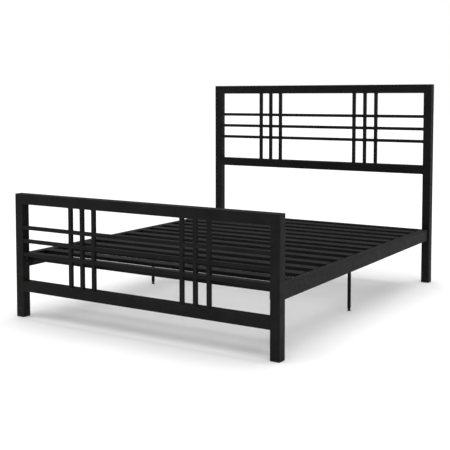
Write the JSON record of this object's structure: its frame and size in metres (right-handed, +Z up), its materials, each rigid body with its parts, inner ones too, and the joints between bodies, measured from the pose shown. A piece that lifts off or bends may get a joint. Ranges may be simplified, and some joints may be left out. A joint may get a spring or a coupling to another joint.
{
  "type": "metal bed frame",
  "caption": "Black steel bed frame with open headboard and footboard grilles, side rails, a slatted deck and support legs.",
  "frame": {"origin": "on the floor, in the middle of the footprint", "axes": "+Y from the footboard to the headboard, +Z up, +X to the right as seen from the foot"},
  "size_m": [1.575, 2.01, 1.236],
  "materials": {
    "black_powder_coat": "satin black powder coat on steel, with a fine orange-peel texture",
    "black_plastic": "moulded black polyethylene, matt",
    "zinc_steel": "black zinc plating on a steel bolt"
  },
  "bodies": {
    "bed_frame": {"footboard_top_rail": "black_powder_coat", "footboard_bottom_rail": "black_powder_coat", "footboard_post_left": "black_powder_coat", "footboard_post_right": "black_powder_coat", "footboard_crossbar_1": "black_powder_coat", "footboard_crossbar_2": "black_powder_coat", "footboard_crossbar_3": "black_powder_coat", "footboard_upright_1": "black_powder_coat", "footboard_upright_2": "black_powder_coat", "footboard_upright_3": "black_powder_coat", "footboard_upright_4": "black_powder_coat", "footboard_upright_5": "black_powder_coat", "footboard_upright_6": "black_powder_coat", "headboard_top_rail": "black_powder_coat", "headboard_lower_rail": "black_powder_coat", "headboard_post_left": "black_powder_coat", "headboard_post_right": "black_powder_coat", "headboard_crossbar_1": "black_powder_coat", "headboard_crossbar_2": "black_powder_coat", "headboard_crossbar_3": "black_powder_coat", "headboard_upright_1": "black_powder_coat", "headboard_upright_2": "black_powder_coat", "headboard_upright_3": "black_powder_coat", "headboard_upright_4": "black_powder_coat", "headboard_upright_5": "black_powder_coat", "headboard_upright_6": "black_powder_coat", "side_rail_left": "black_powder_coat", "side_rail_right": "black_powder_coat", "deck_end_rail_foot": "black_powder_coat", "deck_end_rail_head": "black_powder_coat", "deck_middle_beam": "black_powder_coat", "slat_01": "black_powder_coat", "slat_02": "black_powder_coat", "slat_03": "black_powder_coat", "slat_04": "black_powder_coat", "slat_05": "black_powder_coat", "slat_06": "black_powder_coat", "slat_07": "black_powder_coat", "slat_08": "black_powder_coat", "slat_09": "black_powder_coat", "slat_10": "black_powder_coat", "slat_11": "black_powder_coat", "slat_12": "black_powder_coat", "support_leg_left": "black_powder_coat", "support_leg_right": "black_powder_coat", "footboard_glide_left": "black_plastic", "footboard_glide_right": "black_plastic", "headboard_glide_left": "black_plastic", "headboard_glide_right": "black_plastic", "corner_bolt_foot_left_1": "zinc_steel", "corner_bolt_foot_left_2": "zinc_steel", "corner_bolt_head_left_1": "zinc_steel", "corner_bolt_head_left_2": "zinc_steel", "corner_bolt_foot_right_1": "zinc_steel", "corner_bolt_foot_right_2": "zinc_steel", "corner_bolt_head_right_1": "zinc_steel", "corner_bolt_head_right_2": "zinc_steel"},
    "left_foot": {"levelling_foot_left": "black_plastic"},
    "right_foot": {"levelling_foot_right": "black_plastic"}
  },
  "joints": [
    {"name": "left_foot_screw", "type": "slide", "parent": "bed_frame", "child": "left_foot", "axis": [0, 0, 1], "range_m": [0, 0.0115]},
    {"name": "right_foot_screw", "type": "slide", "parent": "bed_frame", "child": "right_foot", "axis": [0, 0, 1], "range_m": [0, 0.0115]}
  ]
}
